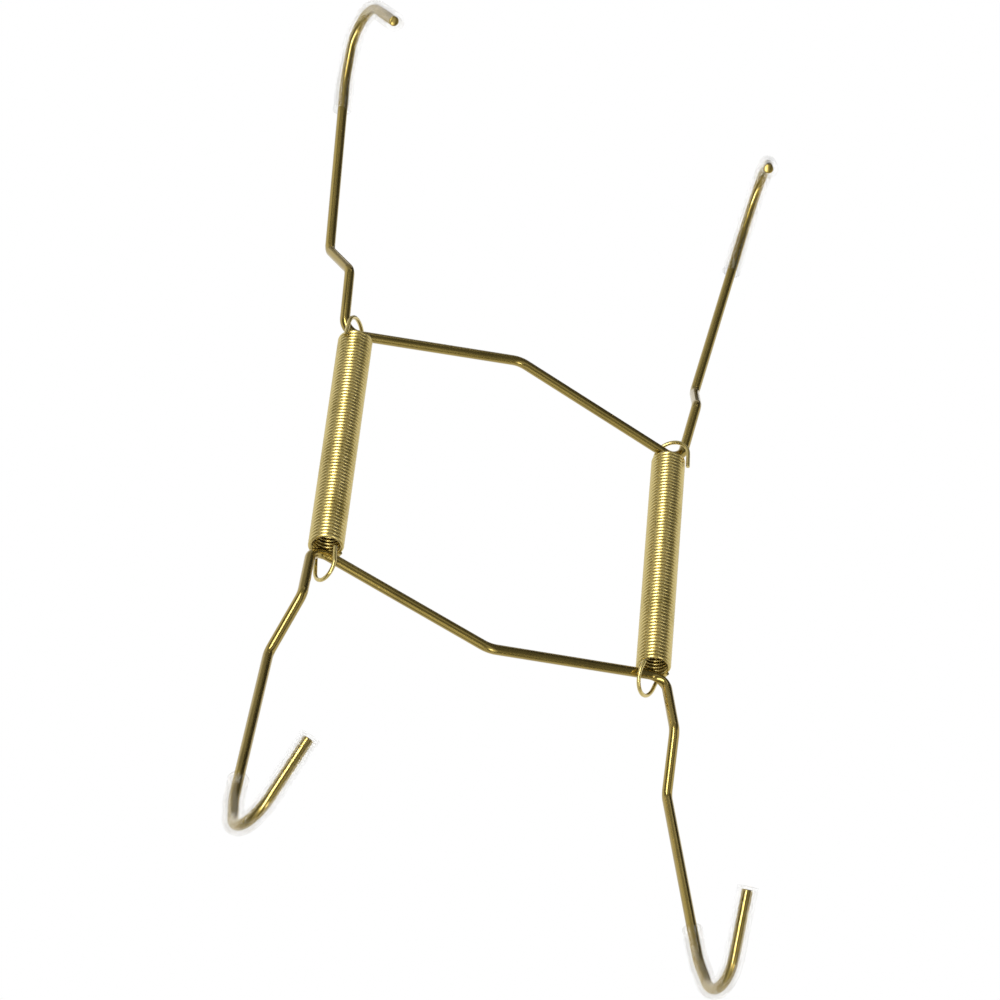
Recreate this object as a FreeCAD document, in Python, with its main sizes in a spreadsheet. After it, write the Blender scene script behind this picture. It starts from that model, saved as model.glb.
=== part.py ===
import FreeCAD, Part
import math
import os

from FreeCAD import Placement, Rotation, Vector
from types import SimpleNamespace

# Wire plate hanger: two bent wire frames, the lower one upside down, held together by two close-wound
# springs, with a clear soft sleeve over each of the four rim hooks. The hooks differ by a millimetre or two.
# Millimetres and degrees. +Z is up, -Y faces the plate and +Y the wall.
# The origin is the nail seat: the underside of the peak in the middle of the upper wire.

SIZES = (
    ("wire_diameter", 2.0, "frame wire, diameter"),
    ("peak_rise", 9.4, "peak of the crossbar above its corners"),
    ("peak_lead", 1.0, "peak in front of the corners"),
    ("peak_radius", 6.0, "bend at the peak, on the wire's centre line"),
    ("corner_half_span", 37.0, "corner to the middle of the crossbar, along X"),
    ("corner_radius", 3.0, "bend at the corner"),
    ("shank_rise", 14.1, "short upright above the corner, height"),
    ("shank_splay", 1.5, "short upright, outward run"),
    ("shank_lead", 2.8, "short upright, forward run"),
    ("knee_rise", 10.1, "slanted knee, height"),
    ("knee_splay", 2.5, "slanted knee, outward run"),
    ("knee_setback", 6.9, "slanted knee, run towards the wall"),
    ("knee_radius", 3.0, "bends at both ends of the knee"),
    ("upper_left_leg_length", 40.9, "leg from the knee to the easing bend, upper left"),
    ("upper_right_leg_length", 42.2, "leg, upper right"),
    ("lower_left_leg_length", 41.6, "leg, lower left"),
    ("lower_right_leg_length", 41.6, "leg, lower right"),
    ("leg_splay_angle", 6.8, "leg leaning outward"),
    ("leg_lean_angle", 11.1, "leg leaning towards the plate"),
    ("ease_angle", 12.5, "slight bend ahead of the hook"),
    ("ease_radius", 18.0, "slight bend, radius"),
    ("hook_lead", 4.2, "straight run between the slight bend and the hook"),
    ("hook_radius", 7.0, "hook bend, radius"),
    ("hook_angle", 120.0, "hook bend, turn"),
    ("upper_left_hook_tip", 11.7, "straight run at the tip, upper left"),
    ("upper_right_hook_tip", 9.7, "straight run at the tip, upper right"),
    ("lower_left_hook_tip", 11.7, "straight run at the tip, lower left"),
    ("lower_right_hook_tip", 11.7, "straight run at the tip, lower right"),
    ("upper_left_toe_angle", 3.3, "hook turned inward, upper left"),
    ("upper_right_toe_angle", 12.8, "hook turned inward, upper right"),
    ("lower_left_toe_angle", 12.8, "hook turned inward, lower left"),
    ("lower_right_toe_angle", 3.3, "hook turned inward, lower right"),
    ("sleeve_clearance", 0.3, "gap between wire and sleeve"),
    ("sleeve_wall", 0.7, "sleeve, wall"),
    ("upper_left_sleeve_lead", 7.6, "sleeve on the leg, before the slight bend, upper left"),
    ("upper_right_sleeve_lead", 10.2, "sleeve on the leg, upper right"),
    ("lower_left_sleeve_lead", 5.5, "sleeve on the leg, lower left"),
    ("lower_right_sleeve_lead", 7.6, "sleeve on the leg, lower right"),
    ("sleeve_overhang", 0.6, "sleeve past the wire's tip"),
    ("spring_wire", 0.8, "spring wire, diameter, and the pitch of the closed coil"),
    ("spring_turns", 67, "turns of the closed coil"),
    ("groove_depth", 0.3, "grooves between the turns"),
    ("coil_gap", 0.33, "coil end to frame wire"),
    ("loop_side_room", 0.65, "gap between an end loop's posts and the frame wire"),
    ("upper_loop_turn", 45.0, "upper end loops turned about the coil, from the crossbar's line"),
    ("lower_left_loop_turn", 75.0, "lower left end loop turned about the coil, from the crossbar's line"),
    ("lower_right_loop_turn", 45.0, "lower right end loop turned about the coil, from the crossbar's line"),
    ("upper_loop_lean", 6.0, "upper end loops leaning forward"),
    ("lower_left_loop_lean", 6.0, "lower left end loop leaning towards the crossbar"),
    ("lower_right_loop_lean", 20.0, "lower right end loop leaning towards the wall"),
    ("upper_loop_play", 1.5, "gap between the upper frame wire and the top of its loops"),
    ("lower_left_loop_play", 4.0, "gap between the lower frame wire and the bottom of its left loop"),
    ("lower_right_loop_play", 3.1, "gap between the lower frame wire and the bottom of its right loop"),
    ("lower_left_loop_reach", 2.9, "lower left loop's free tail from the coil's axis"),
    ("lower_right_loop_reach", 4.1, "lower right loop's free tail from the coil's axis"),
    ("loop_tuck", 0.1, "loop's post inside the coil's mean line"),
    ("loop_root", 0.8, "loop's post sunk into the coil"),
    ("tail_gap", 0.3, "gap between the coil and an upper loop's free tail"),
    ("upper_tail_drop", 2.4, "upper loop's free tail past the end of the coil"),
    ("lower_tail_stop", 1.0, "gap between the end of the coil and a lower loop's free tail"),
)
HOOK_SIZES = ("leg_length", "hook_tip", "toe_angle", "sleeve_lead")  # these differ from hook to hook
LOWER_LOOP_SIZES = ("turn", "lean", "play", "reach")  # these differ between the lower loops

UP = Vector(0, 0, 1)
RIGHT = Vector(1, 0, 0)
FRONT = Vector(0, -1, 0)
TOUCHING = 1e-6      # two points this close are one point
BORE_OVERRUN = 0.5   # the bore's cutter runs past both ends of a sleeve
VOLUME_SHARE = 0.01  # a bar's volume may differ from section times length by this share


def fill_sheet(doc):
    """Write the driving sizes into a sheet, one row each, and return them by name."""
    sheet = doc.addObject("Spreadsheet::Sheet", "Sizes")
    for row, (alias, value, meaning) in enumerate(SIZES, start=1):
        sheet.set(f"A{row}", meaning)
        sheet.set(f"B{row}", str(value))
        sheet.setAlias(f"B{row}", alias)
    doc.recompute()
    return SimpleNamespace(**{alias: float(sheet.get(alias)) for alias, _, _ in SIZES})


def leaning(along, towards, degrees):
    """A unit vector that leans from one direction towards another at right angles to it."""
    turn = math.radians(degrees)
    return along * math.cos(turn) + towards * math.sin(turn)


def bend_arms(before, corner, after):
    """Unit vectors from a bend's sharp corner along its two runs, and half the angle between them."""
    into = (before - corner).normalize()
    out = (after - corner).normalize()
    return into, out, into.getAngle(out) / 2


def bend_centre(before, corner, after, radius):
    """Centre of a bend's arc."""
    into, out, half = bend_arms(before, corner, after)
    return corner + (into + out).normalize() * (radius / math.sin(half))


def bend_extreme(before, corner, after, radius, way):
    """The point of a bend's arc that lies furthest along a direction."""
    into, out, _ = bend_arms(before, corner, after)
    normal = into.cross(out).normalize()
    in_plane = way - normal * way.dot(normal)
    return bend_centre(before, corner, after, radius) + in_plane.normalize() * radius


def bent_path(points, radii):
    """Straight runs from point to point, with an arc of its own radius at each inner point."""
    edges = []
    start = points[0]

    def run_to(end):
        if start.distanceToPoint(end) > TOUCHING:
            edges.append(Part.LineSegment(start, end).toShape())

    for before, corner, after, radius in zip(points, points[1:], points[2:], radii):
        into, out, half = bend_arms(before, corner, after)
        reach = radius / math.tan(half)
        entry = corner + into * reach
        leave = corner + out * reach
        centre = bend_centre(before, corner, after, radius)
        middle = centre + (corner - centre).normalize() * radius
        run_to(entry)
        edges.append(Part.Arc(entry, middle, leave).toShape())
        start = leave
    run_to(points[-1])
    return Part.Wire(edges)


def add_bar(doc, name, points, radii, radius_formula):
    """A round bar along a bent path, with its radius bound to the sheet."""
    path = doc.addObject("Part::Feature", name + "_path")
    path.Shape = bent_path(points, radii)
    section = doc.addObject("Part::Circle", name + "_section")
    section.setExpression("Radius", radius_formula)
    section.Placement = Placement(points[0], Rotation(UP, points[1] - points[0]))
    bar = doc.addObject("Part::Sweep", name)
    bar.Sections = [section]
    bar.Spine = (path, [f"Edge{number}" for number in range(1, len(path.Shape.Edges) + 1)])
    bar.Solid = True
    doc.recompute()
    expected = math.pi * section.Radius.Value ** 2 * path.Shape.Length
    if abs(bar.Shape.Volume / expected - 1) > VOLUME_SHARE:
        raise ValueError(f"{name} has volume {bar.Shape.Volume}, expected {expected}")
    return bar


def hook_sizes(size, place):
    """The sizes of the hook at a place such as upper_left."""
    return SimpleNamespace(**{alias: getattr(size, f"{place}_{alias}") for alias in HOOK_SIZES})


def hook_points(size, own, knee, outward):
    """Points of one hook from the easing bend to the tip."""
    splay = math.tan(math.radians(size.leg_splay_angle))
    lean = math.tan(math.radians(size.leg_lean_angle))
    leg = (UP + outward * splay + FRONT * lean).normalize()
    forward = leaning(FRONT, outward * -1, own.toe_angle)
    forward = (forward - leg * forward.dot(leg)).normalize()
    ease_reach = size.ease_radius * math.tan(math.radians(size.ease_angle / 2))
    hook_reach = size.hook_radius * math.tan(math.radians(size.hook_angle / 4))
    ease = knee + leg * own.leg_length
    first = ease + leaning(leg, forward, size.ease_angle) * (ease_reach + size.hook_lead + hook_reach)
    second = first + leaning(leg, forward, size.ease_angle + size.hook_angle / 2) * (2 * hook_reach)
    tip_way = leaning(leg, forward, size.ease_angle + size.hook_angle)
    tip = second + tip_way * (hook_reach + own.hook_tip)
    return [ease, first, second, tip]


def half_frame(size, place, outward):
    """One half of a wire, hooks up, from the peak outward, with the peak's sharp corner at zero."""
    peak = Vector(0, 0, 0)
    corner = outward * size.corner_half_span - FRONT * size.peak_lead - UP * size.peak_rise
    shank = corner + outward * size.shank_splay + FRONT * size.shank_lead + UP * size.shank_rise
    knee = shank + outward * size.knee_splay - FRONT * size.knee_setback + UP * size.knee_rise
    own = hook_sizes(size, place)
    half = SimpleNamespace(place=place, peak=peak, corner=corner, shank=shank, sleeve_lead=own.sleeve_lead)
    half.leg = [knee] + hook_points(size, own, knee, outward)
    half.points = [corner, shank] + half.leg
    half.radii = [size.corner_radius, size.knee_radius, size.knee_radius, size.ease_radius,
                  size.hook_radius, size.hook_radius]
    return half


def seat_offset(size, left, right):
    """From the peak's sharp corner to the underside of the wire there."""
    top = bend_extreme(left.corner, left.peak, right.corner, size.peak_radius, UP)
    return top - UP * (size.wire_diameter / 2)


def upside_down(point, middle):
    """A point turned half a turn about the line along Y through the middle of the hanger."""
    return Vector(-point.x, point.y, 2 * middle - point.z)


def sleeve_points(size, leg, lead):
    """Centre line of a sleeve and of the cutter for its bore, from a leg's points, knee to tip."""
    knee, *hook = leg
    along = (hook[0] - knee).normalize()
    start = hook[0] - along * lead
    tip_way = (hook[-1] - hook[-2]).normalize()
    end = hook[-1] + tip_way * size.sleeve_overhang
    outer = [start] + hook[:-1] + [end]
    bore = [start - along * BORE_OVERRUN] + hook[:-1] + [end + tip_way * BORE_OVERRUN]
    return outer, bore


def add_sleeve(doc, size, name, leg, lead):
    """A soft tube over one hook."""
    outer, bore = sleeve_points(size, leg, lead)
    radii = [size.ease_radius, size.hook_radius, size.hook_radius]
    inner_radius = "Sizes.wire_diameter / 2 + Sizes.sleeve_clearance"
    cut = doc.addObject("Part::Cut", name)
    cut.Base = add_bar(doc, name + "_outside", outer, radii, inner_radius + " + Sizes.sleeve_wall")
    cut.Tool = add_bar(doc, name + "_bore", bore, radii, inner_radius)
    return cut


def coil_sizes(size):
    """Radius of the end loops, mean radius and length of the coil, from the wire that it holds."""
    room = (size.wire_diameter + size.spring_wire) / 2 + size.loop_side_room
    tightest_turn = min(size.upper_loop_turn, size.lower_left_loop_turn, size.lower_right_loop_turn)
    loop_radius = room / math.sin(math.radians(tightest_turn))
    return SimpleNamespace(loop=loop_radius, mean=loop_radius + size.loop_tuck,
                           length=size.spring_turns * size.spring_wire)


def add_coil(doc, size, name, foot, coil):
    """The closed coil as one tube, grooved between its turns."""
    inner = coil.mean - size.spring_wire / 2
    ridge = coil.mean + size.spring_wire / 2
    valley = ridge - size.groove_depth
    outline = [(inner, 0), (inner, coil.length)]
    for turn in range(round(size.spring_turns)):
        top = coil.length - turn * size.spring_wire
        outline += [(valley, top), (ridge, top - size.spring_wire / 2)]
    outline += [(valley, 0), (inner, 0)]
    profile = doc.addObject("Part::Feature", name + "_profile")
    corners = [foot + RIGHT * radius + UP * height for radius, height in outline]
    profile.Shape = Part.Face(Part.makePolygon(corners))
    tube = doc.addObject("Part::Revolution", name)
    tube.Source = profile
    tube.Base = foot
    tube.Axis = UP
    tube.Angle = 360
    tube.Solid = True
    return tube


def upper_loop(size, coil):
    """An upper end loop's own sizes: its free tail passes outside the coil."""
    return SimpleNamespace(out=UP, turn=size.upper_loop_turn, lean=size.upper_loop_lean,
                           play=size.upper_loop_play, drop=size.upper_tail_drop,
                           reach=coil.mean + size.spring_wire + size.tail_gap)


def lower_loop(size, place):
    """A lower end loop's own sizes: its free tail stops short of the coil."""
    own = {name: getattr(size, f"{place}_loop_{name}") for name in LOWER_LOOP_SIZES}
    return SimpleNamespace(out=UP * -1, drop=-size.lower_tail_stop, **own)


def add_loop(doc, size, name, end, side, coil, shape):
    """An end loop: a post from the coil, an arch round the frame wire and a free tail."""
    height = size.coil_gap + size.wire_diameter + shape.play + size.spring_wire / 2
    arch_radius = (coil.loop + shape.reach) / 2
    across = side.cross(UP)
    lean_way = across if across.dot(FRONT) * shape.out.z > 0 else across * -1
    rise = leaning(shape.out, lean_way, shape.lean)
    points = [
        end - side * coil.loop - rise * size.loop_root,
        end - side * coil.loop + rise * height,
        end + side * shape.reach + rise * height,
        end + side * shape.reach - rise * shape.drop,
    ]
    return add_bar(doc, name, points, [arch_radius, arch_radius], "Sizes.spring_wire / 2")


def add_spring(doc, size, hand, foot, outward, coil):
    """One spring: the upper loop's tail points out and forward, the lower loop's in and forward."""
    name = hand + "_spring"
    top = foot + UP * coil.length
    upper = upper_loop(size, coil)
    lower = lower_loop(size, "lower_" + hand)
    out_and_forward = leaning(outward, FRONT, upper.turn)
    in_and_forward = leaning(outward * -1, FRONT, lower.turn)
    spring = doc.addObject("Part::MultiFuse", name)
    spring.Shapes = [
        add_coil(doc, size, name + "_coil", foot, coil),
        add_loop(doc, size, name + "_upper_loop", top, out_and_forward, coil, upper),
        add_loop(doc, size, name + "_lower_loop", foot, in_and_forward, coil, lower),
    ]
    return spring


def add_frame(doc, size, name, halves, put):
    """A bent wire from its two halves, and the sleeves over its hooks, each point put in its place."""
    first, second = halves
    points = first.points[::-1] + [first.peak] + second.points
    radii = first.radii[::-1] + [size.peak_radius] + second.radii
    parts = [add_bar(doc, name, [put(point) for point in points], radii, "Sizes.wire_diameter / 2")]
    for half in halves:
        leg = [put(point) for point in half.leg]
        parts.append(add_sleeve(doc, size, half.place + "_sleeve", leg, half.sleeve_lead))
    return parts


def build(doc):
    """Make every sub-part and return them in a list."""
    size = fill_sheet(doc)
    left = half_frame(size, "upper_left", RIGHT * -1)
    right = half_frame(size, "upper_right", RIGHT)
    # The lower halves are shaped hooks up as well: turning them upside down swaps their sides.
    lower_halves = [half_frame(size, "lower_right", RIGHT * -1), half_frame(size, "lower_left", RIGHT)]

    shift = seat_offset(size, left, right) * -1
    low = bend_extreme(left.peak, left.corner, left.shank, size.corner_radius, UP * -1) + shift
    coil = coil_sizes(size)
    coil_top = low.z - size.wire_diameter / 2 - size.coil_gap
    middle = coil_top - coil.length / 2

    parts = add_frame(doc, size, "upper_wire", [left, right], lambda point: point + shift)
    parts += add_frame(doc, size, "lower_wire", lower_halves, lambda point: upside_down(point + shift, middle))
    for hand, outward in (("left", RIGHT * -1), ("right", RIGHT)):
        foot = outward * abs(low.x) - FRONT * low.y + UP * (coil_top - coil.length)
        parts.append(add_spring(doc, size, hand, foot, outward, coil))
    return parts


def check(doc, parts):
    """Stop if anything in the document failed or a sub-part isn't one sound solid."""
    doc.recompute()
    for item in doc.Objects:
        if "Invalid" in item.State or "Error" in item.State:
            raise ValueError(f"{item.Name} failed: {item.State}")
    for part in parts:
        if part.Shape.isNull() or not part.Shape.isValid() or len(part.Shape.Solids) != 1:
            raise ValueError(f"{part.Label} is not one sound solid")


def main():
    doc = FreeCAD.newDocument("PlateHanger")
    parts = build(doc)
    check(doc, parts)
    os.makedirs("parts", exist_ok=True)
    for part in parts:
        part.Shape.exportStep(f"parts/{part.Label}.step")
        box = part.Shape.BoundBox
        print(part.Label, "volume", round(part.Shape.Volume, 2), "mm3, box",
              [round(value, 2) for value in (box.XMin, box.YMin, box.ZMin, box.XMax, box.YMax, box.ZMax)])


main()
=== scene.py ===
"""Wire plate hanger: two bent brass-plated frames, two close-wound springs and four clear sleeves."""

import math

import bpy
from mathutils import Matrix, Vector


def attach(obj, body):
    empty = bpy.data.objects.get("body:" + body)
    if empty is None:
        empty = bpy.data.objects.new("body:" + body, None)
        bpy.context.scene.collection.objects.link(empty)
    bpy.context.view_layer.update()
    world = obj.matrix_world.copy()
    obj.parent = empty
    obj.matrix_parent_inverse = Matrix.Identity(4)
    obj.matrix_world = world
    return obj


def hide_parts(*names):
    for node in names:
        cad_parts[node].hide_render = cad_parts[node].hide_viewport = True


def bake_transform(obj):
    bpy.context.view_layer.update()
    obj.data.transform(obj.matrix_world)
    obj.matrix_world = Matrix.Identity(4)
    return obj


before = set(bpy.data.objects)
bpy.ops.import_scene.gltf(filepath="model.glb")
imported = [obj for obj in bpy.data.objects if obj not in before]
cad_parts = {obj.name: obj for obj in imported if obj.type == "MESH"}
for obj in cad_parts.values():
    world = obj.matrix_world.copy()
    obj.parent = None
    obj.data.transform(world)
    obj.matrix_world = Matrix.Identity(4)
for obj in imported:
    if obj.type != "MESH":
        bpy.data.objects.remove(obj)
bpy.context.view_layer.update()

MM = 0.001

UP = Vector((0, 0, 1))
RIGHT = Vector((1, 0, 0))
FRONT = Vector((0, -1, 0))

# Frame wire, in metres and degrees.
WIRE_RADIUS = 1.0 * MM
PEAK_RISE = 9.4 * MM
PEAK_LEAD = 1.0 * MM
PEAK_RADIUS = 6.0 * MM
CORNER_HALF_SPAN = 37.0 * MM
CORNER_RADIUS = 3.0 * MM
SHANK_RISE = 14.1 * MM
SHANK_SPLAY = 1.5 * MM
SHANK_LEAD = 2.8 * MM
KNEE_RISE = 10.1 * MM
KNEE_SPLAY = 2.5 * MM
KNEE_SETBACK = 6.9 * MM
KNEE_RADIUS = 3.0 * MM
LEG_SPLAY_ANGLE = 6.8
LEG_LEAN_ANGLE = 11.1
EASE_ANGLE = 12.5
EASE_RADIUS = 18.0 * MM
HOOK_LEAD = 4.2 * MM
HOOK_RADIUS = 7.0 * MM
HOOK_ANGLE = 120.0
WIRE_SIDES = 32
WIRE_END_BEVEL = 0.25 * MM

# Each hook has a leg, a tip, an inward turn and a sleeve start of its own.
HOOKS = {
    "upper_left": {"leg_length": 40.9 * MM, "tip": 11.7 * MM, "toe_angle": 3.3, "sleeve_lead": 7.6 * MM},
    "upper_right": {"leg_length": 42.2 * MM, "tip": 9.7 * MM, "toe_angle": 12.8, "sleeve_lead": 10.2 * MM},
    "lower_left": {"leg_length": 41.6 * MM, "tip": 11.7 * MM, "toe_angle": 12.8, "sleeve_lead": 5.5 * MM},
    "lower_right": {"leg_length": 41.6 * MM, "tip": 11.7 * MM, "toe_angle": 3.3, "sleeve_lead": 7.6 * MM},
}

# Clear sleeve.
SLEEVE_RADIUS = 2.0 * MM
SLEEVE_WALL = 0.7 * MM
SLEEVE_OVERHANG = 0.6 * MM
SLEEVE_LIP_BEVEL = 0.15 * MM
SLEEVE_SIDES = 48

# Spring: a closed coil, and at each end a post, an arch over the frame wire and a free tail.
SPRING_WIRE = 0.8 * MM
SPRING_TURNS = 67
COIL_RADIUS = 3.0 * MM
COIL_GAP = 0.33 * MM
LOOP_POST = 2.9 * MM
LOOP_ROOT = 0.8 * MM
# Each loop's turn, lean and play, its tail's reach from the axis, and the tail past the coil's end.
UPPER_LOOP = {"turn": 45.0, "lean": 6.0, "play": 1.5 * MM, "reach": 4.1 * MM, "drop": 2.4 * MM}
LOWER_LOOPS = {
    "left": {"turn": 75.0, "lean": 6.0, "play": 4.0 * MM, "reach": 2.9 * MM, "drop": -1.0 * MM},
    "right": {"turn": 45.0, "lean": 20.0, "play": 3.1 * MM, "reach": 4.1 * MM, "drop": -1.0 * MM},
}
COIL_LENGTH = SPRING_TURNS * SPRING_WIRE
COIL_SIDES = 12
COIL_STEPS = 48

# Bends and edges: bends are spun in steps, sharp edges eased and gentle ones shaded smooth.
STEP_ANGLE = 6.0
SHORTEST_RUN = 0.001 * MM
EDGE_ANGLE = 60.0
EDGE_STEPS = 3
SMOOTH_ANGLE = 40.0

# Brass plating. The marks of drawing are finer on real wire, and are as coarse here as they need to show.
STREAK_WIDTH = 0.4 * MM
STREAK_DEPTH = 0.02 * MM
STREAK_BUMP = 0.08
CLOUD_WIDTH = 9 * MM
DARK_PATTERN = 0.7   # sum of streaks and clouds where the dark colour is full
LIGHT_PATTERN = 1.0  # and where the light one is
LACQUER = 0.45       # share of the plating under clear lacquer
LACQUER_ROUGHNESS = 0.12

# Clear vinyl.
HAZE_WIDTH = 2 * MM
VINYL_ROUGHNESS = (0.02, 0.08)
VINYL_IOR = 1.45
VINYL_OPACITY = 0.18

# Camera.
CAMERA_PLACE = Vector((-221.11, -556.52, -552.08)) * MM
CAMERA_RIGHT = Vector((0.89868, -0.43097, 0.08145))
CAMERA_DOWN = Vector((0.33884, 0.56429, -0.75284))
CAMERA_LENS = 147.589
CAMERA_SENSOR = 36.0

# Studio.
HANGER_MIDDLE = Vector((0, -10, -36)) * MM
CARD_DISTANCE = 0.7
CARD_STEPS = 12
LAMP_DISTANCE = 0.65
FLOOR_HEIGHT = -1.5
FLOOR_SIZE = 6.0
WHITE_STRENGTH = 1.0
FILL_STRENGTH = 0.9

# Each card's azimuths, elevations and level of grey, in the camera's own angles.
CARDS = {
    "card_high_beside_camera": ((2, 24), (-8, 90), 0.12),
    "card_strip_right": ((24, 42), (-8, 90), 0.6),
    "card_high_right": ((42, 72), (-8, 90), 0.15),
    "card_right": ((72, 104), (18, 58), 0.1),
    "card_behind_right": ((104, 180), (18, 38), 0.1),
    "card_above_camera": ((-40, 2), (60, 90), 0.35),
    "card_above_right": ((104, 142), (38, 86), 0.05),
    "card_above_behind": ((142, 240), (45, 88), 0.4),
    "card_above_left": ((240, 284), (58, 88), 0.6),
    "card_low_beside_camera": ((2, 24), (-75, -8), 0.15),
    "card_low_right": ((24, 44), (-75, -8), 1.0),
    "card_low_far_right": ((44, 70), (-75, -8), 0.15),
    "card_left": ((-76, -40), (5, 45), 0.06),
    "card_high_left": ((-76, -40), (45, 90), 0.3),
    "card_low_left": ((-76, -40), (-75, 5), 0.25),
}


def leaning(along, towards, degrees):
    """A unit vector that leans from one direction towards another at right angles to it."""
    turn = math.radians(degrees)
    return along * math.cos(turn) + towards * math.sin(turn)


def bend_arms(before, corner, after):
    """Unit vectors from a bend's sharp corner along its two runs, and half the angle between them."""
    into = (before - corner).normalized()
    out = (after - corner).normalized()
    return into, out, into.angle(out) / 2


def bend_centre(before, corner, after, radius):
    """Centre of a bend's arc."""
    into, out, half = bend_arms(before, corner, after)
    return corner + (into + out).normalized() * (radius / math.sin(half))


def bend_extreme(before, corner, after, radius, way):
    """The point of a bend's arc that lies furthest along a direction."""
    into, out, _ = bend_arms(before, corner, after)
    normal = into.cross(out).normalized()
    in_plane = way - normal * way.dot(normal)
    return bend_centre(before, corner, after, radius) + in_plane.normalized() * radius


def hook_points(own, knee, outward):
    """Points of one hook from the easing bend to the tip."""
    splay = math.tan(math.radians(LEG_SPLAY_ANGLE))
    lean = math.tan(math.radians(LEG_LEAN_ANGLE))
    leg = (UP + outward * splay + FRONT * lean).normalized()
    forward = leaning(FRONT, -outward, own["toe_angle"])
    forward = (forward - leg * forward.dot(leg)).normalized()
    ease_reach = EASE_RADIUS * math.tan(math.radians(EASE_ANGLE / 2))
    hook_reach = HOOK_RADIUS * math.tan(math.radians(HOOK_ANGLE / 4))
    ease = knee + leg * own["leg_length"]
    first = ease + leaning(leg, forward, EASE_ANGLE) * (ease_reach + HOOK_LEAD + hook_reach)
    second = first + leaning(leg, forward, EASE_ANGLE + HOOK_ANGLE / 2) * (2 * hook_reach)
    tip = second + leaning(leg, forward, EASE_ANGLE + HOOK_ANGLE) * (hook_reach + own["tip"])
    return [ease, first, second, tip]


def half_frame(place, outward):
    """One half of a wire, hooks up, from its corner to the tip, with the peak's sharp corner at zero."""
    corner = outward * CORNER_HALF_SPAN - FRONT * PEAK_LEAD - UP * PEAK_RISE
    shank = corner + outward * SHANK_SPLAY + FRONT * SHANK_LEAD + UP * SHANK_RISE
    knee = shank + outward * KNEE_SPLAY - FRONT * KNEE_SETBACK + UP * KNEE_RISE
    return [corner, shank, knee] + hook_points(HOOKS[place], knee, outward)


def bend_round(points, radii, tube_radius, sides, name):
    """A round tube, open at both ends: a ring drawn out along each run and spun round each bend."""
    place = points[0]
    way = points[1] - points[0]
    bpy.ops.object.select_all(action="DESELECT")
    bpy.ops.mesh.primitive_circle_add(vertices=sides, radius=tube_radius, location=place,
                                      rotation=way.to_track_quat("Z", "Y").to_euler())
    tube = bpy.context.object
    tube.name = name
    bpy.ops.object.transform_apply(location=True, rotation=True, scale=True)
    bpy.ops.object.mode_set(mode="EDIT")
    bpy.ops.mesh.select_all(action="SELECT")

    for before, corner, after, radius in zip(points, points[1:], points[2:], radii):
        into, out, half = bend_arms(before, corner, after)
        reach = radius / math.tan(half)
        draw_out(corner + into * reach - place)
        turn = math.pi - 2 * half
        bpy.ops.mesh.spin(steps=math.ceil(math.degrees(turn) / STEP_ANGLE), angle=turn,
                          center=bend_centre(before, corner, after, radius), axis=into.cross(out))
        place = corner + out * reach
    draw_out(points[-1] - place)
    bpy.ops.object.mode_set(mode="OBJECT")
    return tube


def draw_out(run):
    """Extrude the selected ring along a run, unless two bends meet there."""
    if run.length > SHORTEST_RUN:
        bpy.ops.mesh.extrude_region_move(TRANSFORM_OT_translate={"value": run})


def pick(piece):
    """Select one piece alone."""
    bpy.ops.object.select_all(action="DESELECT")
    piece.select_set(True)
    bpy.context.view_layer.objects.active = piece


def apply_modifier(piece, kind, **settings):
    """Add a modifier to a piece and apply it."""
    pick(piece)
    bpy.ops.object.modifier_add(type=kind)
    modifier = piece.modifiers[-1]
    for name, value in settings.items():
        setattr(modifier, name, value)
    bpy.ops.object.modifier_apply(modifier=modifier.name)


def ease_edges(piece, width):
    """Round off the sharp edges of a piece."""
    apply_modifier(piece, "BEVEL", width=width, segments=EDGE_STEPS, limit_method="ANGLE",
                   angle_limit=math.radians(EDGE_ANGLE))


def face_outwards(piece):
    """Turn every face outwards and shade the curved faces smooth."""
    pick(piece)
    bpy.ops.object.mode_set(mode="EDIT")
    bpy.ops.mesh.select_all(action="SELECT")
    bpy.ops.mesh.normals_make_consistent(inside=False)
    bpy.ops.object.mode_set(mode="OBJECT")
    bpy.ops.object.shade_smooth_by_angle(angle=math.radians(SMOOTH_ANGLE))


def mark_straight(piece, sides):
    """Store each point's place on the wire before it was bent, so that drawing marks can run along it."""
    points = [vertex.co for vertex in piece.data.vertices]
    rings = [points[start:start + sides] for start in range(0, len(points), sides)]
    straight = piece.data.attributes.new("straight", "FLOAT_VECTOR", "POINT")
    middle = sum(rings[0], Vector()) / sides
    along = 0.0
    index = 0
    for ring in rings:
        ring_middle = sum(ring, Vector()) / sides
        along += (ring_middle - middle).length
        middle = ring_middle
        for step in range(sides):
            turn = 2 * math.pi * step / sides
            across = math.cos(turn) * WIRE_RADIUS
            over = math.sin(turn) * WIRE_RADIUS
            straight.data[index].vector = (across, over, along)
            index += 1


def close_ends(piece):
    """Fill the open ends of a tube."""
    bpy.ops.object.mode_set(mode="EDIT")
    bpy.ops.mesh.select_all(action="DESELECT")
    bpy.ops.mesh.select_non_manifold(extend=False)
    bpy.ops.mesh.fill_holes(sides=0)
    bpy.ops.object.mode_set(mode="OBJECT")


def frame_wire(name, points, radii):
    """A frame wire: one length of round wire, bent, with its two cut ends eased."""
    wire = bend_round(points, radii, WIRE_RADIUS, WIRE_SIDES, name)
    mark_straight(wire, WIRE_SIDES)
    close_ends(wire)
    ease_edges(wire, WIRE_END_BEVEL)
    face_outwards(wire)
    return wire


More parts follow.
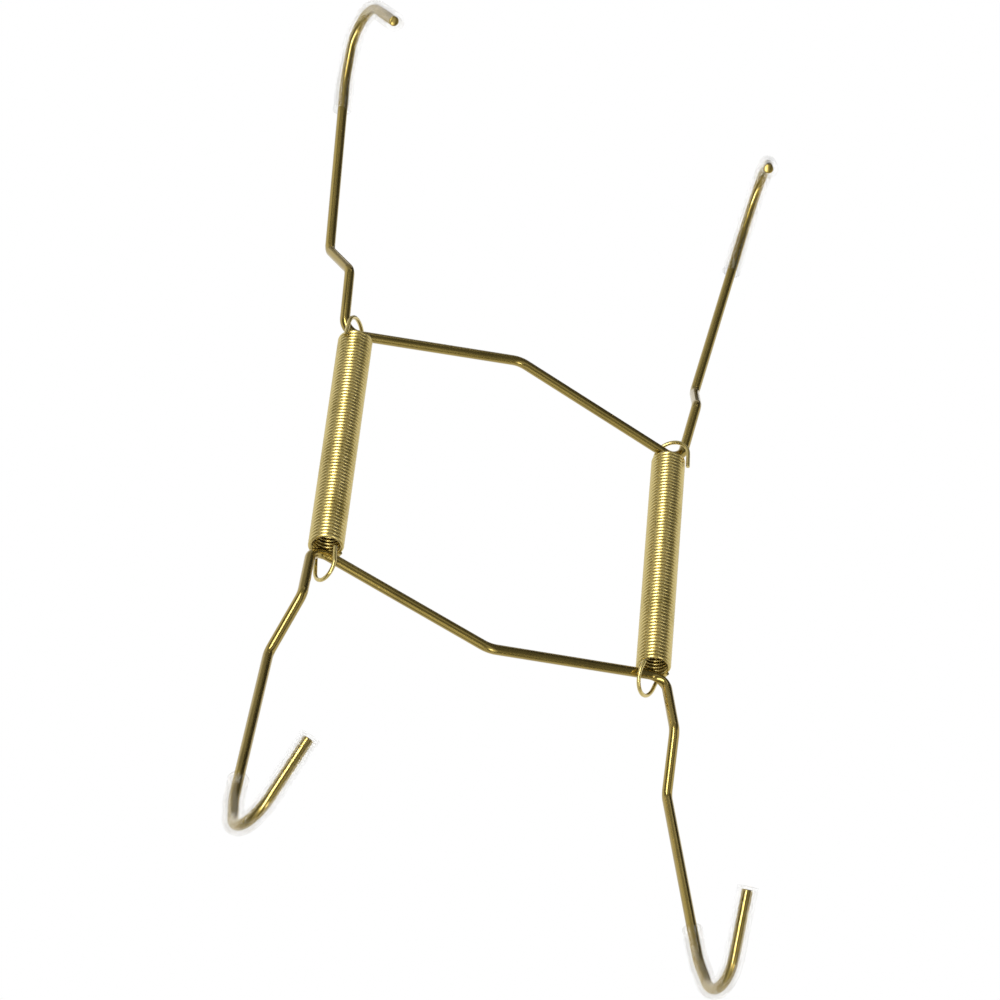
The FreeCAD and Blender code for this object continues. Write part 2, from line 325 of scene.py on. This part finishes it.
def sleeve(name, leg, lead):
    """A soft clear tube over one hook, open at both ends, from a leg's points, knee to tip."""
    knee, *hook = leg
    start = hook[0] - (hook[0] - knee).normalized() * lead
    end = hook[-1] + (hook[-1] - hook[-2]).normalized() * SLEEVE_OVERHANG
    points = [start] + hook[:-1] + [end]
    tube = bend_round(points, [EASE_RADIUS, HOOK_RADIUS, HOOK_RADIUS], SLEEVE_RADIUS, SLEEVE_SIDES, name)
    face_outwards(tube)
    apply_modifier(tube, "SOLIDIFY", thickness=SLEEVE_WALL, offset=-1, use_even_offset=True)
    ease_edges(tube, SLEEVE_LIP_BEVEL)
    bpy.ops.object.shade_smooth_by_angle(angle=math.radians(SMOOTH_ANGLE))
    return tube


def coil(name, foot):
    """The closed coil: the wire's section, screwed up round the spring's axis."""
    bpy.ops.object.select_all(action="DESELECT")
    bpy.ops.mesh.primitive_circle_add(vertices=COIL_SIDES, radius=SPRING_WIRE / 2,
                                      rotation=(math.pi / 2, 0, 0))
    turns = bpy.context.object
    turns.name = name
    bpy.ops.object.transform_apply(location=True, rotation=True, scale=True)
    turns.data.transform(Matrix.Translation(RIGHT * COIL_RADIUS + UP * SPRING_WIRE / 2))
    apply_modifier(turns, "SCREW", angle=2 * math.pi, screw_offset=SPRING_WIRE,
                   iterations=SPRING_TURNS - 1, steps=COIL_STEPS, render_steps=COIL_STEPS,
                   use_merge_vertices=False)
    turns.data.transform(Matrix.Translation(foot))
    return turns


def end_loop(name, end, out, side, own):
    """An end loop: a post from the coil, an arch round the frame wire and a free tail."""
    height = COIL_GAP + 2 * WIRE_RADIUS + own["play"] + SPRING_WIRE / 2
    arch_radius = (LOOP_POST + own["reach"]) / 2
    # The upper loops lean to the front and the lower ones to the back.
    across = side.cross(UP)
    lean_way = across if across.dot(FRONT) * out.z > 0 else -across
    rise = leaning(out, lean_way, own["lean"])
    points = [
        end - side * LOOP_POST - rise * LOOP_ROOT,
        end - side * LOOP_POST + rise * height,
        end + side * own["reach"] + rise * height,
        end + side * own["reach"] - rise * own["drop"],
    ]
    loop = bend_round(points, [arch_radius, arch_radius], SPRING_WIRE / 2, COIL_SIDES, name)
    close_ends(loop)
    return loop


def spring(hand, foot, outward):
    """One spring: the upper loop's tail points out and forward, the lower loop's in and forward."""
    name = hand + "_spring_wound"
    lower = LOWER_LOOPS[hand]
    top = foot + UP * COIL_LENGTH
    out_and_forward = leaning(outward, FRONT, UPPER_LOOP["turn"])
    in_and_forward = leaning(-outward, FRONT, lower["turn"])
    turns = coil(name, foot)
    close_ends(turns)
    loops = [
        end_loop(name + "_upper_loop", top, UP, out_and_forward, UPPER_LOOP),
        end_loop(name + "_lower_loop", foot, -UP, in_and_forward, lower),
    ]
    bpy.ops.object.select_all(action="DESELECT")
    for piece in loops + [turns]:
        piece.select_set(True)
    bpy.context.view_layer.objects.active = turns
    bpy.ops.object.join()
    face_outwards(turns)
    return turns


def upside_down(point, middle):
    """A point turned half a turn about the line along Y through the middle of the hanger."""
    return Vector((-point.x, point.y, 2 * middle - point.z))


def linear(hex_colour):
    """A colour written as sRGB hex, as linear red, green, blue and alpha."""
    channels = [int(hex_colour[start:start + 2], 16) / 255 for start in (1, 3, 5)]
    return [value / 12.92 if value <= 0.04045 else ((value + 0.055) / 1.055) ** 2.4
            for value in channels] + [1.0]


def add_node(tree, kind, links=(), **settings):
    """Add a node with its settings, and link each named or numbered input, or set its value."""
    node = tree.nodes.new(kind)
    for name, value in settings.items():
        setattr(node, name, value)
    for socket, source in dict(links).items():
        if hasattr(source, "is_output"):
            tree.links.new(source, node.inputs[socket])
        else:
            node.inputs[socket].default_value = source
    return node


def new_material(name):
    """An empty node material and its tree."""
    material = bpy.data.materials.new(name)
    material.use_nodes = True
    material.node_tree.nodes.clear()
    return material, material.node_tree


def brass_plating(name, light, dark, coordinate, streak_length, roughness):
    """Bright brass plating under thin clear lacquer: gold metal with pale highlights.

    It is a little dull between fine streaks, which run along a frame wire or along a coil's axis.
    Their length is given in widths.
    """
    material, tree = new_material(name)
    if coordinate:
        place = add_node(tree, "ShaderNodeAttribute", attribute_name=coordinate).outputs["Vector"]
    else:
        place = add_node(tree, "ShaderNodeTexCoord").outputs["Object"]
    streak_place = add_node(tree, "ShaderNodeMapping", {"Vector": place, "Scale": (1, 1, 1 / streak_length)})
    streaks = add_node(tree, "ShaderNodeTexNoise",
                       {"Vector": streak_place.outputs[0], "Scale": 1 / STREAK_WIDTH, "Detail": 3.0})
    clouds = add_node(tree, "ShaderNodeTexNoise", {"Vector": place, "Scale": 1 / CLOUD_WIDTH, "Detail": 2.0})
    pattern = add_node(tree, "ShaderNodeMath",
                       {0: streaks.outputs["Fac"], 1: clouds.outputs["Fac"]}, operation="ADD")
    colour = add_node(tree, "ShaderNodeValToRGB", {"Fac": pattern.outputs[0]})
    dark_stop, light_stop = colour.color_ramp.elements
    dark_stop.position = DARK_PATTERN
    dark_stop.color = linear(dark)
    light_stop.position = LIGHT_PATTERN
    light_stop.color = linear(light)
    rough = add_node(tree, "ShaderNodeMapRange", {
        "Value": streaks.outputs["Fac"], "To Min": roughness[0], "To Max": roughness[1]})
    bump = add_node(tree, "ShaderNodeBump", {
        "Height": streaks.outputs["Fac"], "Strength": STREAK_BUMP, "Distance": STREAK_DEPTH})
    shader = add_node(tree, "ShaderNodeBsdfPrincipled", {
        "Base Color": colour.outputs[0], "Roughness": rough.outputs[0], "Normal": bump.outputs[0],
        "Metallic": 1.0, "Coat Weight": LACQUER, "Coat Roughness": LACQUER_ROUGHNESS})
    add_node(tree, "ShaderNodeOutputMaterial", {"Surface": shader.outputs[0]})
    return material


def clear_vinyl():
    """Clear soft vinyl tube: almost colourless, glossy, with a faint haze from the extruder."""
    material, tree = new_material("clear_soft_vinyl")
    place = add_node(tree, "ShaderNodeTexCoord").outputs["Object"]
    haze = add_node(tree, "ShaderNodeTexNoise", {"Vector": place, "Scale": 1 / HAZE_WIDTH, "Detail": 2.0})
    rough = add_node(tree, "ShaderNodeMapRange", {
        "Value": haze.outputs["Fac"], "To Min": VINYL_ROUGHNESS[0], "To Max": VINYL_ROUGHNESS[1]})
    shader = add_node(tree, "ShaderNodeBsdfPrincipled", {
        "Base Color": linear("#FBFAF5"), "Roughness": rough.outputs[0], "IOR": VINYL_IOR,
        "Transmission Weight": 1.0, "Alpha": VINYL_OPACITY})
    add_node(tree, "ShaderNodeOutputMaterial", {"Surface": shader.outputs[0]})
    return material


def studio_world():
    """White to the camera, in reflections and through the sleeves, and a softer fill elsewhere."""
    world = bpy.data.worlds.new("studio")
    bpy.context.scene.world = world
    world.use_nodes = True
    tree = world.node_tree
    tree.nodes.clear()
    ray = add_node(tree, "ShaderNodeLightPath")
    seen = add_node(tree, "ShaderNodeMath",
                    {0: ray.outputs["Is Camera Ray"], 1: ray.outputs["Is Glossy Ray"]}, operation="MAXIMUM")
    seen = add_node(tree, "ShaderNodeMath",
                    {0: seen.outputs[0], 1: ray.outputs["Is Transmission Ray"]}, operation="MAXIMUM")
    strength = add_node(tree, "ShaderNodeMapRange", {
        "Value": seen.outputs[0], "To Min": FILL_STRENGTH, "To Max": WHITE_STRENGTH})
    light = add_node(tree, "ShaderNodeBackground", {"Color": (1, 1, 1, 1), "Strength": strength.outputs[0]})
    add_node(tree, "ShaderNodeOutputWorld", {"Surface": light.outputs[0]})


def add_camera():
    """A long lens below and left of the hanger, at the photograph's viewing angle."""
    camera = bpy.data.cameras.new("camera")
    camera.lens = CAMERA_LENS
    camera.sensor_width = CAMERA_SENSOR
    camera.sensor_height = CAMERA_SENSOR
    view = bpy.data.objects.new("camera", camera)
    bpy.context.scene.collection.objects.link(view)
    back = CAMERA_DOWN.cross(CAMERA_RIGHT)
    turn = Matrix((CAMERA_RIGHT, -CAMERA_DOWN, back)).transposed()
    view.matrix_world = Matrix.Translation(CAMERA_PLACE) @ turn.to_4x4()
    bpy.context.scene.camera = view


def from_camera(azimuth, elevation, distance):
    """A place round the hanger, by its angles to the camera's right and to the camera's top."""
    side = math.radians(azimuth)
    lift = math.radians(elevation)
    towards_camera = CAMERA_DOWN.cross(CAMERA_RIGHT)
    level = CAMERA_RIGHT * math.sin(side) + towards_camera * math.cos(side)
    return HANGER_MIDDLE + (level * math.cos(lift) - CAMERA_DOWN * math.sin(lift)) * distance


def facing(place):
    """A turn that points an object's -Z from a place at the hanger, with its top to the camera's top."""
    back = (place - HANGER_MIDDLE).normalized()
    side = (-CAMERA_DOWN).cross(back).normalized()
    return Matrix((side, back.cross(side), back)).transposed().to_4x4()


def add_card(name, azimuths, elevations, level):
    """A curved grey card round the hanger, between two pairs of angles, that shows only in reflections."""
    bpy.ops.object.select_all(action="DESELECT")
    bpy.ops.mesh.primitive_grid_add(x_subdivisions=CARD_STEPS, y_subdivisions=CARD_STEPS, size=1)
    card = bpy.context.object
    card.name = name
    for vertex in card.data.vertices:
        azimuth = azimuths[0] + (vertex.co.x + 0.5) * (azimuths[1] - azimuths[0])
        elevation = elevations[0] + (vertex.co.y + 0.5) * (elevations[1] - elevations[0])
        vertex.co = from_camera(azimuth, elevation, CARD_DISTANCE)
    material, tree = new_material(name)
    shader = add_node(tree, "ShaderNodeEmission", {"Color": (level, level, level, 1)})
    add_node(tree, "ShaderNodeOutputMaterial", {"Surface": shader.outputs[0]})
    card.data.materials.append(material)
    card.visible_camera = False
    card.visible_diffuse = False
    card.visible_shadow = False


def add_floor():
    """A plain pale floor, far below the hanger."""
    bpy.ops.object.select_all(action="DESELECT")
    bpy.ops.mesh.primitive_plane_add(size=FLOOR_SIZE, location=(0, 0, FLOOR_HEIGHT))
    floor = bpy.context.object
    floor.name = "floor"
    material, tree = new_material("pale_floor")
    shader = add_node(tree, "ShaderNodeBsdfDiffuse", {"Color": linear("#F6F5F1")})
    add_node(tree, "ShaderNodeOutputMaterial", {"Surface": shader.outputs[0]})
    floor.data.materials.append(material)


def add_softbox(name, azimuth, elevation, width, height, power):
    """A soft area lamp that faces the hanger, with its size given as angles."""
    place = from_camera(azimuth, elevation, LAMP_DISTANCE)
    lamp = bpy.data.lights.new(name, "AREA")
    lamp.shape = "RECTANGLE"
    lamp.size = 2 * LAMP_DISTANCE * math.tan(math.radians(width / 2))
    lamp.size_y = 2 * LAMP_DISTANCE * math.tan(math.radians(height / 2))
    lamp.energy = power
    box = bpy.data.objects.new(name, lamp)
    bpy.context.scene.collection.objects.link(box)
    box.matrix_world = Matrix.Translation(place) @ facing(place)
    box.visible_camera = False


def dress(piece, material, slot, *nodes):
    """Give a piece its material, and let it stand for its solids. The slot is not used."""
    piece.data.materials.clear()
    piece.data.materials.append(material)
    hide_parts(*nodes)


# The underside of the upper wire's peak comes to zero, and each coil hangs under a corner's lowest point.
left_points = half_frame("upper_left", -RIGHT)
right_points = half_frame("upper_right", RIGHT)
peak = Vector((0, 0, 0))
peak_top = bend_extreme(left_points[0], peak, right_points[0], PEAK_RADIUS, UP)
shift = UP * WIRE_RADIUS - peak_top
low = bend_extreme(peak, left_points[0], left_points[1], CORNER_RADIUS, -UP) + shift
coil_top = low.z - WIRE_RADIUS - COIL_GAP
middle = coil_top - COIL_LENGTH / 2
half_radii = [CORNER_RADIUS, KNEE_RADIUS, KNEE_RADIUS, EASE_RADIUS, HOOK_RADIUS, HOOK_RADIUS]
wire_radii = half_radii[::-1] + [PEAK_RADIUS] + half_radii


def put_upper(point):
    """A point of the upper frame, with the nail seat at zero."""
    return point + shift


def put_lower(point):
    """A point of the lower frame, which hangs upside down."""
    return upside_down(point + shift, middle)


wire_brass = brass_plating("brass_plated_drawn_wire", light="#A38E48", dark="#8C793A",
                           coordinate="straight", streak_length=50, roughness=(0.16, 0.28))
spring_brass = brass_plating("brass_plated_spring_wire", light="#CCB974", dark="#B29F58",
                             coordinate="", streak_length=4, roughness=(0.27, 0.33))
vinyl = clear_vinyl()

# The lower halves are shaped hooks up as well: turning them upside down swaps their sides.
for level, left_place, right_place, put in (("upper", "upper_left", "upper_right", put_upper),
                                            ("lower", "lower_right", "lower_left", put_lower)):
    halves = {left_place: half_frame(left_place, -RIGHT), right_place: half_frame(right_place, RIGHT)}
    points = halves[left_place][::-1] + [peak] + halves[right_place]
    wire = frame_wire(level + "_wire_bent", [put(point) for point in points], wire_radii)
    dress(wire, wire_brass, "frame_wire", level + "_wire")
    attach(wire, level + "_frame")
    for place, half in halves.items():
        leg = [put(point) for point in half[2:]]
        tube = sleeve(place + "_sleeve_tube", leg, HOOKS[place]["sleeve_lead"])
        dress(tube, vinyl, "clear_sleeve", place + "_sleeve")
        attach(tube, level + "_frame")

for hand, outward in (("left", -RIGHT), ("right", RIGHT)):
    foot = outward * abs(low.x) + Vector((0, low.y, coil_top - COIL_LENGTH))
    wound = spring(hand, foot, outward)
    dress(wound, spring_brass, "spring_wire", hand + "_spring")
    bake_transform(wound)

studio_world()
add_camera()
add_floor()
for name, (azimuths, elevations, grey) in CARDS.items():
    add_card(name, azimuths, elevations, grey)
add_softbox("softbox_left", azimuth=-14, elevation=13, width=12, height=76, power=5.0)
add_softbox("softbox_low_right", azimuth=27, elevation=-36, width=10, height=10, power=0.4)

scene = bpy.context.scene
scene.view_settings.view_transform = "Standard"
